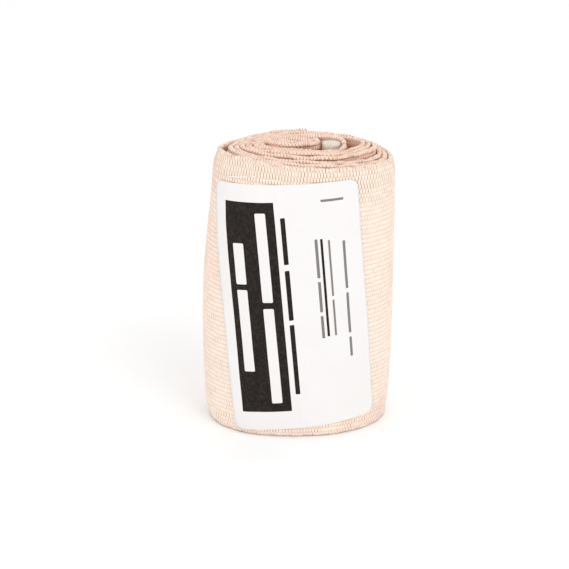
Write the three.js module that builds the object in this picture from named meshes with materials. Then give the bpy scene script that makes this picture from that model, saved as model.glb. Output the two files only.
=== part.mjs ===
import * as THREE from 'three';

// Emergency trauma bandage: an elastic band wound into a flattened roll that stands on its
// edge, with a folded dressing pad in its core and a paper label on its front.
// Millimetres, +Z up. The label faces -Y. The origin lies on the surface that the roll
// stands on, in the middle of its footprint.

// Driving sizes of the elastic band
const band_width = 101.6;
const band_thickness = 1.15;
const turn_gap = 0.55;

// Driving sizes of the core: the innermost loops, beside the pad that they lie against
const coil_length = 17.1;
const pad_length = 6.7;
const pad_layer = 2.6;
const pad_fold_gap = 0.4;
const pad_width = 100;
const pad_lift = 4.4;
const pad_clearance = 0.45;

// Driving sizes of the label
const label_width = 50.8;
const label_thickness = 0.35;
const label_corner = 3;
const label_foot = 4;
const label_head = 6;
const label_clearance = 0.3;
const label_sideways = 0.3;
const label_turn = THREE.MathUtils.degToRad(5.4);

// How finely the curved walls are cut into flat faces
const stations_per_turn = 28;
const band_rows = [0, 0.03, 0.1, 0.3, 0.55, 0.8, 0.9, 0.97, 1];
const fold_steps = 12;
const label_columns = 15;
const label_corner_steps = 3;
const label_middle_steps = 7;

// One turn of the band takes its own thickness and the gap to the next turn
const turn_pitch = band_thickness + turn_gap;

// The label leaves the same margins of the band free above and below it, whatever its width
const label_height = band_width - label_foot - label_head;

// Short steps in turns: to find the wall's direction, to measure along it, and to stop a search
const direction_step = 0.004;
const measuring_step = 0.002;
const closest_step = 1e-6;

// The turns that show, from the free end inwards. left, front, right and back are counted in
// turn pitches outwards from the core turn, which is the last row. The lifts say how far the
// turn stands above the outer one on its left and right side, as a share of the band's width.
const turns = [
  { left: 8.4, front: 7.3, right: 9.2, back: 7.0, lift_left: 0, lift_right: 0 },
  { left: 6.2, front: 6.1, right: 8.05, back: 5.9, lift_left: 0.002, lift_right: 0.003 },
  { left: 5.05, front: 4.8, right: 7, back: 4.85, lift_left: 0.003, lift_right: 0.007 },
  { left: 3.9, front: 3.3, right: 5.9, back: 3.8, lift_left: 0.006, lift_right: 0.028 },
  { left: 2.6, front: 2.15, right: 4.8, back: 2.15, lift_left: 0.01, lift_right: 0.032 },
  { left: 1.2, front: 1.05, right: 3.75, back: 1.05, lift_left: 0.01, lift_right: 0.032 },
  { left: 0, front: 0, right: 0, back: 0, lift_left: 0.01, lift_right: 0.03 },
];

// How far the roll swells out below its rim. Heights are shares of the band's width, the rest
// are shares of the rim's own length and depth. The coil beside the pad swells on its left
// alone.
const swells = [
  { height: 0, left: 0.075, right: -0.007, front: -0.005, back: 0 },
  { height: 0.03, left: 0.093, right: 0, front: 0.004, back: 0.006 },
  { height: 0.1, left: 0.108, right: 0.012, front: 0.01, back: 0.01 },
  { height: 0.35, left: 0.11, right: 0.03, front: 0.016, back: 0.014 },
  { height: 0.62, left: 0.094, right: 0.026, front: 0.018, back: 0.014 },
  { height: 0.88, left: 0.04, right: 0.022, front: 0.014, back: 0.012 },
  { height: 0.96, left: 0.026, right: 0.018, front: 0.01, back: 0.01 },
  { height: 1, left: 0, right: 0, front: 0, back: 0 },
];

// The form of the outline. The four ..._at columns say how far each side's fullest point lies
// from the middle, as a share of half the roll's length or depth. The corner columns say how
// full the outline is between two sides: 2 is a quarter of an ellipse, less is flatter.
const outlines = [
  { height: 0, front_at: -0.03, back_at: 0, left_at: 0, right_at: 0,
    front_left: 2.2, back_left: 2, front_right: 2, back_right: 2 },
  { height: 0.6, front_at: 0, back_at: 0, left_at: -0.03, right_at: -0.08,
    front_left: 2.25, back_left: 1.9, front_right: 2.05, back_right: 1.95 },
  { height: 0.88, front_at: 0.06, back_at: -0.03, left_at: -0.05, right_at: -0.15,
    front_left: 2.2, back_left: 1.75, front_right: 2.05, back_right: 1.85 },
  { height: 1, front_at: 0.34, back_at: -0.07, left_at: 0.07, right_at: -0.3,
    front_left: 1.65, back_left: 1.5, front_right: 2, back_right: 1.7 },
];

// The innermost windings: how far each bows in front of and behind the middle, as shares of
// the pad's depth. The core turn goes round the pad and the coil, and the tail ends in the coil.
const bows = {
  core: { front: 1.36, back: 1.32 },
  coil: { front: 0.6, back: 0.76 },
  tail: { front: 0.2, back: 0.3 },
};

// How full the core turn is where it goes round the pad, how full the coil is, how far its
// loops lie apart in turn pitches, and how far the pad lies forwards, as a share of its depth
const core_fullness = 2.6;
const coil_fullness = 2;
const coil_pitches = 1.3;
const pad_forward_share = 0.36;

const pad_depth = 2 * pad_layer + pad_fold_gap;

// Left to right, the coil of innermost loops comes first, then the pad, then the core turn
const coil_step = coil_pitches * turn_pitch;
const core_left = coil_length / 2 + coil_step;
const pad_left = coil_length / 2 + band_thickness / 2 + pad_clearance;
const pad_right = pad_left + pad_length;
const core_right = pad_right + pad_clearance + band_thickness / 2;

// The band passes the rows of the table, one loop beside the pad and part of one inside that.
// Its free end lies a little to the right of the back's fullest point, from where it is counted.
const tail_turns = 0.8;
const free_end = -0.015;
const last_wound = turns.length + 1 + tail_turns;

// Middle of the band's wall at the rim on one side of one turn, as a distance outwards
function rim_reach(side, turn) {
  const loop = turn - turns.length;
  const lengthways = side === 'left' || side === 'right';
  if (loop >= 0 && lengthways) return coil_length / 2 - coil_step * loop;
  if (loop >= 0) return (loop > 0 ? bows.tail : bows.coil)[side] * pad_depth;
  const core = lengthways ? { left: core_left, right: core_right }[side] : bows.core[side] * pad_depth;
  return core + turn_pitch * turns[turn][side];
}

const rim_length = rim_reach('left', 0) + rim_reach('right', 0);
const rim_depth = rim_reach('front', 0) + rim_reach('back', 0);

// Smooth reading of a table between its rows
function table_reader(rows) {
  const columns = Object.keys(rows[0]).filter((name) => name !== 'height');
  const heights = rows.map((row) => row.height);
  const values = rows.flatMap((row) => columns.map((name) => row[name]));
  const curve = new THREE.CubicInterpolant(heights, values, columns.length);
  return (height) => {
    const read = curve.evaluate(THREE.MathUtils.clamp(height, 0, 1));
    return Object.fromEntries(columns.map((name, index) => [name, read[index]]));
  };
}

const swell_at = table_reader(swells);
const outline_at = table_reader(outlines);

function reach(side, turn, swell) {
  if (turn >= turns.length && side !== 'left') return rim_reach(side, turn);
  const whole = side === 'left' || side === 'right' ? rim_length : rim_depth;
  return rim_reach(side, turn) + swell[side] * whole;
}

// The order in which the band passes the four sides, from its free end at the back
const sides = ['back', 'left', 'front', 'right'];
const opposite = { back: 'front', left: 'right', front: 'back', right: 'left' };
const outwards = { back: 1, left: -1, front: -1, right: 1 };

// The point of one turn that lies furthest out on one side: its distance out and its place
// along the side, which is found from the two sides that the band passes before and after
function fullest_point(side, turn, swell, outline) {
  const out = outwards[side] * reach(side, turn, swell);
  const next = sides[(sides.indexOf(side) + 1) % 4];
  const shared = (side === 'front' || side === 'back') && turn < turns.length;
  const after_turn = next === 'back' ? turn + 1 : turn;
  const before_turn = side === 'back' ? Math.max(turn - 1, 0) : turn;
  const after = reach(next, shared ? 0 : after_turn, swell);
  const before = reach(opposite[next], shared ? 0 : before_turn, swell);
  const middle = outwards[next] * (after - before) / 2;
  const along = middle + outline[side + '_at'] * (after + before) / 2;
  return { out, along };
}

// Plan of the wall's middle. wound counts turns from the outer turn's fullest point at the back.
// The free end before it runs along behind the next turn.
function plan_point(wound, height) {
  if (wound < 0) {
    const beneath = plan_point(wound + 1, height);
    return beneath.setY(beneath.y + turn_pitch * (turns[0].back - turns[1].back));
  }
  const swell = swell_at(height);
  const outline = outline_at(height);
  const quarter = Math.floor(wound * 4 + closest_step);
  const from_side = sides[quarter % 4];
  const to_side = sides[(quarter + 1) % 4];
  const turn = Math.floor(quarter / 4);
  const from = fullest_point(from_side, turn, swell, outline);
  const to = fullest_point(to_side, to_side === 'back' ? turn + 1 : turn, swell, outline);
  const along_y = from_side === 'front' || from_side === 'back';
  const corner = along_y ? `${from_side}_${to_side}` : `${to_side}_${from_side}`;
  const angle = (wound * 4 - quarter) * Math.PI / 2;
  const leaving = Math.max(Math.cos(angle), 0);
  const arriving = Math.max(Math.sin(angle), 0);
  const around_pad = turn === turns.length - 1 && corner.endsWith('right');
  const fullness = around_pad ? core_fullness : turn < turns.length ? outline[corner] : coil_fullness;
  const norm = (leaving ** fullness + arriving ** fullness) ** (1 / fullness);
  const a = to.along + (from.out - to.along) * leaving / norm;
  const b = from.along + (to.out - from.along) * arriving / norm;
  return along_y ? new THREE.Vector2(b, a) : new THREE.Vector2(a, b);
}

// The same point, moved outwards from the wall's middle
function wall_point(wound, height, outset) {
  const before = plan_point(wound - direction_step, height);
  const after = plan_point(wound + direction_step, height);
  const along = after.sub(before).normalize();
  const point = plan_point(wound, height);
  return new THREE.Vector2(point.x + along.y * outset, point.y - along.x * outset);
}

// How far the band stands above the outer turn, eased from side to side
function lift_at(wound) {
  const lifts = turns.flatMap((turn) => [turn.lift_left, turn.lift_right]);
  const position = THREE.MathUtils.clamp((wound - 0.25) * 2, 0, lifts.length - 1);
  const first = Math.min(Math.floor(position), lifts.length - 2);
  const ease = THREE.MathUtils.smoothstep(position - first, 0, 1);
  return THREE.MathUtils.lerp(lifts[first], lifts[first + 1], ease) * band_width;
}

// A closed wall from a grid of places, each with its outer and its inner point
function walled_grid(columns, rows, corner_points) {
  const positions = [];
  for (let column = 0; column < columns; column += 1) {
    for (let row = 0; row < rows; row += 1) {
      const [outer, inner] = corner_points(column, row);
      positions.push(...outer, ...inner);
    }
  }
  const outer = (column, row) => (column * rows + row) * 2;
  const inner = (column, row) => outer(column, row) + 1;
  const faces = [];
  const quad = (a, b, c, d) => faces.push(a, b, c, a, c, d);
  for (let column = 0; column < columns - 1; column += 1) {
    for (let row = 0; row < rows - 1; row += 1) {
      const [c, r] = [column + 1, row + 1];
      quad(outer(column, row), outer(c, row), outer(c, r), outer(column, r));
      quad(inner(column, row), inner(column, r), inner(c, r), inner(c, row));
    }
    const top = rows - 1;
    quad(outer(column, 0), inner(column, 0), inner(column + 1, 0), outer(column + 1, 0));
    quad(outer(column, top), outer(column + 1, top), inner(column + 1, top), inner(column, top));
  }
  for (let row = 0; row < rows - 1; row += 1) {
    const last = columns - 1;
    quad(outer(0, row), outer(0, row + 1), inner(0, row + 1), inner(0, row));
    quad(outer(last, row), inner(last, row), inner(last, row + 1), outer(last, row + 1));
  }
  const geometry = new THREE.BufferGeometry();
  geometry.setAttribute('position', new THREE.Float32BufferAttribute(positions, 3));
  geometry.setIndex(faces);
  geometry.computeVertexNormals();
  return geometry;
}

// The elastic band, from its free end at the back to the tail inside the innermost loop
function elastic_wrap_geometry() {
  const wound_turns = last_wound - free_end;
  const stations = Math.round(wound_turns * stations_per_turn);
  return walled_grid(stations + 1, band_rows.length, (column, row) => {
    const wound = free_end + wound_turns * column / stations;
    const z = band_rows[row] * band_width + lift_at(wound);
    return [0.5, -0.5].map((share) => {
      const point = wall_point(wound, z / band_width, share * band_thickness);
      return [point.x, point.y, z];
    });
  });
}

// The dressing pad, folded once with its fold to the right
function absorbent_pad_geometry() {
  const middle = -pad_forward_share * pad_depth;
  const fold_x = pad_right - pad_depth / 2;
  const inner_radius = pad_fold_gap / 2;
  const shape = new THREE.Shape();
  shape.moveTo(pad_left, middle - pad_depth / 2);
  shape.absarc(fold_x, middle, pad_depth / 2, -Math.PI / 2, Math.PI / 2, false);
  shape.lineTo(pad_left, middle + pad_depth / 2);
  shape.lineTo(pad_left, middle + inner_radius);
  shape.absarc(fold_x, middle, inner_radius, Math.PI / 2, -Math.PI / 2, true);
  shape.lineTo(pad_left, middle - inner_radius);
  const geometry = new THREE.ExtrudeGeometry(shape, {
    depth: pad_width, bevelEnabled: false, curveSegments: fold_steps,
  });
  geometry.translate(0, 0, pad_lift);
  return geometry;
}

// The place on the outer turn's front that lies straight in front of the core's middle
function front_middle(height) {
  let [before, after] = [0.3, 0.7];
  while (after - before > closest_step) {
    const half = (before + after) / 2;
    if (plan_point(half, height).x < 0) before = half;
    else after = half;
  }
  return before;
}

// The place on the outer turn that lies a distance along the cloth from the front's middle
function winding_at(distance, height) {
  const step = Math.sign(distance) * measuring_step;
  let wound = front_middle(height);
  let left = Math.abs(distance);
  let point = plan_point(wound, height);
  while (left > 0) {
    const next = plan_point(wound + step, height);
    const length = next.distanceTo(point);
    if (length >= left) return wound + step * left / length;
    left -= length;
    wound += step;
    point = next;
  }
  return wound;
}

// The label, laid over the curve of the front and turned a little
function label_geometry() {
  const half_width = label_width / 2;
  const half_height = label_height / 2;
  const corner_angles = Array.from(
    { length: label_corner_steps + 1 }, (_, i) => i / label_corner_steps * Math.PI / 2,
  );
  const edge = corner_angles.map((angle) => ({
    up: half_height - label_corner * (1 - Math.cos(angle)),
    half: half_width - label_corner * (1 - Math.sin(angle)),
  }));
  const straight = half_height - label_corner;
  const middle = Array.from({ length: label_middle_steps - 1 }, (_, i) => ({
    up: straight * (1 - 2 * (i + 1) / label_middle_steps), half: half_width,
  }));
  const below = edge.map((row) => ({ up: -row.up, half: row.half })).reverse();
  const rows = [...edge, ...middle, ...below].reverse();
  const centre_z = label_foot + half_height;
  return walled_grid(label_columns, rows.length, (column, row) => {
    const across = rows[row].half * (2 * column / (label_columns - 1) - 1);
    const up = rows[row].up;
    const along = label_sideways + across * Math.cos(label_turn) - up * Math.sin(label_turn);
    const z = centre_z + across * Math.sin(label_turn) + up * Math.cos(label_turn);
    const wound = winding_at(along, z / band_width);
    const under = band_thickness / 2 + label_clearance;
    return [under + label_thickness, under].map((outset) => {
      const point = wall_point(wound, z / band_width, outset);
      return [point.x, point.y, z];
    });
  });
}

const fabric = new THREE.MeshStandardMaterial({ color: 0xf0dacb, roughness: 0.95, metalness: 0 });
const dressing = new THREE.MeshStandardMaterial({ color: 0xf2ebe2, roughness: 1, metalness: 0 });
const paper = new THREE.MeshStandardMaterial({ color: 0xf4f1ee, roughness: 0.5, metalness: 0 });

function named_mesh(name, geometry, material) {
  const mesh = new THREE.Mesh(geometry, material);
  mesh.name = name;
  return mesh;
}

const wrap = named_mesh('elastic_wrap', elastic_wrap_geometry(), fabric);
const pad = named_mesh('absorbent_pad', absorbent_pad_geometry(), dressing);
const label = named_mesh('label', label_geometry(), paper);

const bandage = new THREE.Group();
bandage.add(wrap, pad, label);

// The middle of the whole thing's footprint is the origin
const box = new THREE.Box3().setFromObject(bandage);
const centre = box.getCenter(new THREE.Vector3());
bandage.position.set(-centre.x, -centre.y, -box.min.z);

export default bandage;
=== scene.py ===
# %% [markdown]
# # A rolled elastic trauma bandage
# The object is one long elastic band of crepe cloth, wound round a folded dressing pad into a
# flattened roll that stands on its edge. A paper label is stuck to the front of the outer turn.
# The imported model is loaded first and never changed. It gives the sizes and the places, and
# each soft piece below is built in the space that its solid holds.

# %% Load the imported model
import math

import bmesh
import bpy
import numpy as np
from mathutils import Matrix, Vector


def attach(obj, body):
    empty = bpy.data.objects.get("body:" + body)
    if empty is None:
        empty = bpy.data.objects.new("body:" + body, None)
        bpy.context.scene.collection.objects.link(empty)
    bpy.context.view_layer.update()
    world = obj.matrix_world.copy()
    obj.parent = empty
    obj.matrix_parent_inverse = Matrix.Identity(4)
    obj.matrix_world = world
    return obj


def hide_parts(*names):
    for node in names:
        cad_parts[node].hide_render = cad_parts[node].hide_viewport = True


MM = 0.001
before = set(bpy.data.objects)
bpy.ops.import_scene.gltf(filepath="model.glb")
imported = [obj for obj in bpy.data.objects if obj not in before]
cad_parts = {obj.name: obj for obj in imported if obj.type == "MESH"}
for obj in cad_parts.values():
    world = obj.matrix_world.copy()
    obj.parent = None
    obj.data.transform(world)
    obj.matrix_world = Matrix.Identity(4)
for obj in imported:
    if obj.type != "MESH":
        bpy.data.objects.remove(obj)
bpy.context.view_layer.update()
print("packed nodes:", sorted(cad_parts))

# %% [markdown]
# ## The form of the roll
# The real roll is one band laid in a spiral. Its form could be sculpted by hand, but a formula
# keeps every turn clear of the next one. The formula and its tables repeat the solid's own:
# the distance of each turn from the middle on four sides, how the roll swells below its rim,
# and how full its outline is between two sides. All lengths are in metres.

# %% Sizes of the wound band
BAND_WIDTH = 101.6 * MM
BAND_THICKNESS = 1.15 * MM
TURN_GAP = 0.55 * MM
TURN_PITCH = BAND_THICKNESS + TURN_GAP
PAD_LAYER = 2.6 * MM
PAD_FOLD_GAP = 0.4 * MM
PAD_DEPTH = 2 * PAD_LAYER + PAD_FOLD_GAP
PAD_LENGTH = 6.7 * MM
PAD_CLEARANCE = 0.45 * MM
COIL_HALF = 17.1 * MM / 2
COIL_STEP = 1.3 * TURN_PITCH
CORE_LEFT = COIL_HALF + COIL_STEP
CORE_RIGHT = COIL_HALF + PAD_LENGTH + BAND_THICKNESS + 2 * PAD_CLEARANCE
CORE_FULLNESS = 2.6
COIL_FULLNESS = 2
# Brings the middle of the roll's box to the origin
ROLL_SHIFT = np.array([-1.5335, 0.81218]) * MM

# Places along the band, in turns from the middle of the back
FREE_END = -0.015
LAST_WOUND = 8.8

# The four sides in winding order, and which way each one faces along its axis
BACK, LEFT, FRONT, RIGHT = range(4)
OUTWARDS = np.array([1, -1, -1, 1])

# How far the core turn, then the coil and its inner end, bow out at the back and at the front,
# as shares of the pad's depth
CORE_BOWS = (1.32, 1.36)
COIL_BOWS = [(0.76, 0.6), (0.3, 0.2), (0.3, 0.2)]
print("core length in mm:", round((CORE_LEFT + CORE_RIGHT) / MM, 1))

# %% Tables of its turns, swelling and outline
# Each turn from the free end inwards: pitches out from the core turn at the back, left, front
# and right, then its lift on the left and on the right as a share of the band's width
TURNS = np.array([
    [7.0, 8.4, 7.3, 9.2, 0, 0],
    [5.9, 6.2, 6.1, 8.05, 0.002, 0.003],
    [4.85, 5.05, 4.8, 7, 0.003, 0.007],
    [3.8, 3.9, 3.3, 5.9, 0.006, 0.028],
    [2.15, 2.6, 2.15, 4.8, 0.01, 0.032],
    [1.05, 1.2, 1.05, 3.75, 0.01, 0.032],
    [0, 0, 0, 0, 0.01, 0.03],
])

# Height as a share of the band's width, then how far the back, left, front and right swell out,
# as shares of the rim's own depth or length
SWELLS = np.array([
    [0, 0, 0.075, -0.005, -0.007],
    [0.03, 0.006, 0.093, 0.004, 0],
    [0.1, 0.01, 0.108, 0.01, 0.012],
    [0.35, 0.014, 0.11, 0.016, 0.03],
    [0.62, 0.014, 0.094, 0.018, 0.026],
    [0.88, 0.012, 0.04, 0.014, 0.022],
    [0.96, 0.01, 0.026, 0.01, 0.018],
    [1, 0, 0, 0, 0],
])

# Height, then where each side's fullest point lies along that side (back, left, front, right),
# then how full the corners are that follow the back, the left, the front and the right
OUTLINES = np.array([
    [0, 0, 0, -0.03, 0, 2, 2.2, 2, 2],
    [0.6, 0, -0.03, 0, -0.08, 1.9, 2.25, 2.05, 1.95],
    [0.88, -0.03, -0.05, 0.06, -0.15, 1.75, 2.2, 2.05, 1.85],
    [1, -0.07, 0.07, 0.34, -0.3, 1.5, 1.65, 2, 1.7],
])
print("turns outside the coil:", len(TURNS))


# %% Distances of every turn at the rim
def rim_table():
    """One row a turn, one column a side. The last three rows are the coil beside the pad."""
    back, front = CORE_BOWS
    core = np.array([back * PAD_DEPTH, CORE_LEFT, front * PAD_DEPTH, CORE_RIGHT])
    rows = [core + TURN_PITCH * turn[:4] for turn in TURNS]
    for loop, (back, front) in enumerate(COIL_BOWS):
        side = COIL_HALF - COIL_STEP * loop
        rows.append(np.array([back * PAD_DEPTH, side, front * PAD_DEPTH, side]))
    return np.array(rows)


RIM = rim_table()
RIM_SPAN = np.array([RIM[0, BACK] + RIM[0, FRONT], RIM[0, LEFT] + RIM[0, RIGHT]])
print("rim length and depth in mm:", np.round(RIM_SPAN[::-1] / MM, 1))


# %% Smooth reading between the rows of a table
def smooth_read(table, at):
    """Cubic curves through the table's columns, read at many heights at once."""
    knots, values = table[:, 0], table[:, 1:]
    at = np.clip(at, 0, 1)
    chords = np.diff(values, axis=0) / np.diff(knots)[:, None]
    slopes = np.vstack([chords[:1], (chords[1:] + chords[:-1]) / 2, chords[-1:]])
    i = np.clip(np.searchsorted(knots, at, side="right") - 1, 0, len(knots) - 2)
    width = (knots[i + 1] - knots[i])[:, None]
    p = (at - knots[i])[:, None] / width
    return (
        (2 * p**3 - 3 * p**2 + 1) * values[i]
        + (p**3 - 2 * p**2 + p) * width * slopes[i]
        + (3 * p**2 - 2 * p**3) * values[i + 1]
        + (p**3 - p**2) * width * slopes[i + 1]
    )


print("swell at half height:", smooth_read(SWELLS, np.array([0.5])).round(3))

# %% Plan of the band's middle
# Added before rounding down, so that a whole quarter turn isn't read as the one before it
WHOLE_QUARTER = 1e-6


def reach(side, turn, swell):
    """How far out one side of one turn lies."""
    swells = (turn < len(TURNS)) | (side == LEFT)
    return RIM[turn, side] + swells * swell[np.arange(len(turn)), side] * RIM_SPAN[side % 2]


def fullest_point(side, turn, swell, outline):
    """The point of a turn furthest out on one side: its distance out, its place along it."""
    following = (side + 1) % 4
    shared = (side % 2 == 0) & (turn < len(TURNS))
    after_turn = np.where(shared, 0, np.where(following == BACK, turn + 1, turn))
    before_turn = np.where(shared, 0, np.where(side == BACK, np.maximum(turn - 1, 0), turn))
    after = reach(following, after_turn, swell)
    before = reach((side + 3) % 4, before_turn, swell)
    middle = OUTWARDS[following] * (after - before) / 2
    along = middle + outline[np.arange(len(turn)), side] * (after + before) / 2
    return OUTWARDS[side] * reach(side, turn, swell), along


def plan_points(wound, height):
    """x and y of the wall's middle. wound counts turns from the middle of the back."""
    swell, outline = smooth_read(SWELLS, height), smooth_read(OUTLINES, height)
    at_free_end = wound < 0
    wound = wound + at_free_end
    quarter = np.floor(wound * 4 + WHOLE_QUARTER).astype(int)
    side, turn = quarter % 4, quarter // 4
    to_side = (side + 1) % 4
    to_turn = np.where(to_side == BACK, turn + 1, turn)
    from_out, from_along = fullest_point(side, turn, swell, outline)
    to_out, to_along = fullest_point(to_side, to_turn, swell, outline)
    angle = (wound * 4 - quarter) * math.pi / 2
    leaving, arriving = np.maximum(np.cos(angle), 0), np.maximum(np.sin(angle), 0)
    fullness = outline[np.arange(len(turn)), 4 + side]
    fullness = np.where(turn < len(TURNS), fullness, COIL_FULLNESS)
    around_pad = (turn == len(TURNS) - 1) & (side >= FRONT)
    fullness = np.where(around_pad, CORE_FULLNESS, fullness)
    norm = (leaving**fullness + arriving**fullness) ** (1 / fullness)
    a = to_along + (from_out - to_along) * leaving / norm
    b = from_along + (to_out - from_along) * arriving / norm
    along_y = side % 2 == 0
    y = np.where(along_y, a, b) + at_free_end * (RIM[0, BACK] - RIM[1, BACK])
    return np.stack([np.where(along_y, b, a), y], axis=1)


print("back of the rim in mm:", (plan_points(np.zeros(1), np.ones(1)) / MM).round(1))

# %% The wall with its outward direction, and the lift of each turn
# How far before and after a place its direction is measured, in turns
DIRECTION_STEP = 0.004


def wall(wound, height):
    """Places on the wall's middle, and the outward direction there."""
    after, before = wound + DIRECTION_STEP, wound - DIRECTION_STEP
    direction = plan_points(after, height) - plan_points(before, height)
    direction /= np.linalg.norm(direction, axis=1)[:, None]
    outward = np.stack([direction[:, 1], -direction[:, 0]], axis=1)
    return plan_points(wound, height) + ROLL_SHIFT, outward


def lift_at(wound):
    """How far the band stands above the outer turn, eased from side to side."""
    lifts = TURNS[:, 4:].ravel()
    # The table gives the lifts half a turn apart, and the first is a quarter turn from the back
    position = np.clip((wound - 0.25) * 2, 0, len(lifts) - 1)
    first = np.minimum(position.astype(int), len(lifts) - 2)
    p = np.clip(position - first, 0, 1)
    return (lifts[first] + (lifts[first + 1] - lifts[first]) * p * p * (3 - 2 * p)) * BAND_WIDTH


print("highest lift in mm:", round(TURNS[:, 4:].max() * BAND_WIDTH / MM, 1))

# %% Length of cloth along the band
MEASURED_HEIGHTS = (0.02, 0.25, 0.5, 0.75, 0.98)
MEASURING_POINTS = 6000


def cloth_lengths():
    """How much cloth has passed at each place, as the mean of several heights."""
    wound = np.linspace(FREE_END, LAST_WOUND, MEASURING_POINTS)
    passed = np.zeros(len(wound))
    for height in MEASURED_HEIGHTS:
        points = plan_points(wound, np.full(len(wound), height))
        steps = np.linalg.norm(np.diff(points, axis=0), axis=1)
        passed[1:] += np.cumsum(steps) / len(MEASURED_HEIGHTS)
    return wound, passed


WOUND_KNOTS, LENGTH_KNOTS = cloth_lengths()
BAND_LENGTH = LENGTH_KNOTS[-1]
print("cloth in the band, in mm:", round(BAND_LENGTH / MM))


def length_at(wound):
    return np.interp(wound, WOUND_KNOTS, LENGTH_KNOTS)


def wound_at(length):
    return np.interp(length, LENGTH_KNOTS, WOUND_KNOTS)


# %% [markdown]
# ## The crepe band
# Crepe cloth has ribs along its length, because elastic yarns gather it. The ribs of the outer
# turn are modelled, so that light and outline are true from near by, and the finer slits
# between the yarns are left to the material. Each stretch of cloth starts as a flat grid with
# its UV map in metres of cloth, and its points are then moved onto the spiral. Only the outer
# turn needs the fine grid, so the band is built as two stretches that meet under the free end.

# %% A flat grid and its places
def link(obj):
    bpy.context.scene.collection.objects.link(obj)
    return obj


def unit_grid(name, columns, rows):
    """A flat grid from 0 to 1 both ways, with a UV map."""
    mesh = bpy.data.meshes.new(name)
    bm = bmesh.new()
    bm.loops.layers.uv.new("UVMap")
    bmesh.ops.create_grid(bm, x_segments=columns, y_segments=rows, size=0.5, calc_uvs=True)
    bmesh.ops.translate(bm, vec=(0.5, 0.5, 0), verts=bm.verts)
    bm.to_mesh(mesh)
    bm.free()
    return link(bpy.data.objects.new(name, mesh))


def grid_values(obj):
    """The grid place of each vertex, both from 0 to 1."""
    co = np.empty(len(obj.data.vertices) * 3)
    obj.data.vertices.foreach_get("co", co)
    co = co.reshape(-1, 3)
    return co[:, 0].copy(), co[:, 1].copy()


def set_places(obj, places, u, v):
    """Move the vertices, and write cloth metres into the UV map."""
    obj.data.vertices.foreach_set("co", places.astype(np.float32).ravel())
    corners = np.empty(len(obj.data.loops), dtype=np.int32)
    obj.data.loops.foreach_get("vertex_index", corners)
    layer = obj.data.uv_layers["UVMap"].data
    layer.foreach_set("uv", np.stack([u[corners], v[corners]], axis=1).astype(np.float32).ravel())
    obj.data.update()


def smooth(obj):
    obj.data.polygons.foreach_set("use_smooth", [True] * len(obj.data.polygons))


# %% Ribs and unevenness of the cloth
RIB_COUNT = 60
RIB_PITCH = BAND_WIDTH / RIB_COUNT
RIB_HEIGHT = 0.2 * MM
RIB_ROUNDNESS = 0.8
RIB_MEAN = 0.6


def turns_of_wave(place, wave_length):
    """How far a wave has gone round at a place in metres. The wave's length is in mm."""
    return 2 * math.pi * place / (wave_length * MM)


def wave(place, wave_length, start=0.0):
    return np.sin(turns_of_wave(place, wave_length) + start)


def uneven(length, across):
    """Slow unevenness of the cloth, in metres, from a few crossed waves."""
    long_wave = wave(length, 31, 1.7 * wave(across, 57))
    middle_wave = wave(length, 13.7, 0.8 + turns_of_wave(across, 43))
    short_wave = wave(length, 7.3, 2.1 - turns_of_wave(across, 19.1))
    return (0.13 * long_wave + 0.07 * middle_wave + 0.04 * short_wave) * MM


def rib_profile(across):
    """Rounded ribs along the band, in metres from the wall's middle."""
    bulge = np.abs(np.sin(math.pi * across / RIB_PITCH))
    return RIB_HEIGHT * (bulge**RIB_ROUNDNESS - RIB_MEAN)


def rim_wave(length):
    """The rim rises and falls a little along the band."""
    return (0.2 * wave(length, 47, 0.5) + 0.13 * wave(length, 11.3, 1.1)) * MM


def band_places(wound, across):
    """Places of the cloth's middle surface for its place along and across the band."""
    length = length_at(wound)
    share = across / BAND_WIDTH
    z = across + lift_at(wound) + rim_wave(length) * share**3
    spots, outward = wall(wound, z / BAND_WIDTH)
    out = rib_profile(across) + uneven(length, across)
    return np.column_stack([spots + outward * out[:, None], z]), length


print("rib pitch in mm:", round(RIB_PITCH / MM, 2))

# %% Cloth counted along the outer turn
# In turns: where the outer turn ends, and between which places its front lies
OUTER_END = 1.09
FRONT_STARTS = 0.34
FRONT_ENDS = 0.69
OUTER_LENGTH = length_at(OUTER_END)
OUTER_POINTS = 700
UPRIGHT_FRONT = 31 * MM
UPRIGHT_BACK = 18 * MM


def outer_turn_line(height):
    """The outer turn at one height: wound values, cloth passed, and cloth passed at x = 0."""
    wound = np.linspace(FREE_END, OUTER_END, OUTER_POINTS)
    line = plan_points(wound, np.full(len(wound), height))
    passed = np.concatenate([[0], np.cumsum(np.linalg.norm(np.diff(line, axis=0), axis=1))])
    front = (wound > FRONT_STARTS) & (wound < FRONT_ENDS)
    return wound, passed, np.interp(0, line[front, 0], passed[front])


def upright_places(height):
    """Cloth passed where the free end, the front and the back start and stop."""
    _, passed, middle = outer_turn_line(height)
    under_end = passed[-1] - length_at(OUTER_END) + length_at(1)
    return [0, UPRIGHT_BACK, middle - UPRIGHT_FRONT, middle + UPRIGHT_FRONT,
            under_end - UPRIGHT_BACK, passed[-1]]


def upright_length(wound, across):
    """Cloth passed, counted so that yarns across the band are upright at the front and back."""
    level = upright_places(0.5)
    found = np.empty(len(wound))
    for place in np.unique(across):
        row = across == place
        knots, passed, _ = outer_turn_line(place / BAND_WIDTH)
        passed_here = np.interp(wound[row], knots, passed)
        found[row] = np.interp(passed_here, upright_places(place / BAND_WIDTH), level)
    return found


print("cloth in the outer turn, in mm:", round(OUTER_LENGTH / MM))

# %% The outer turn and the turns inside it
RIM_ROOM = 0.7 * MM
OUTER_COLUMN = 1.1 * MM
INNER_COLUMN = 1.7 * MM


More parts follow.
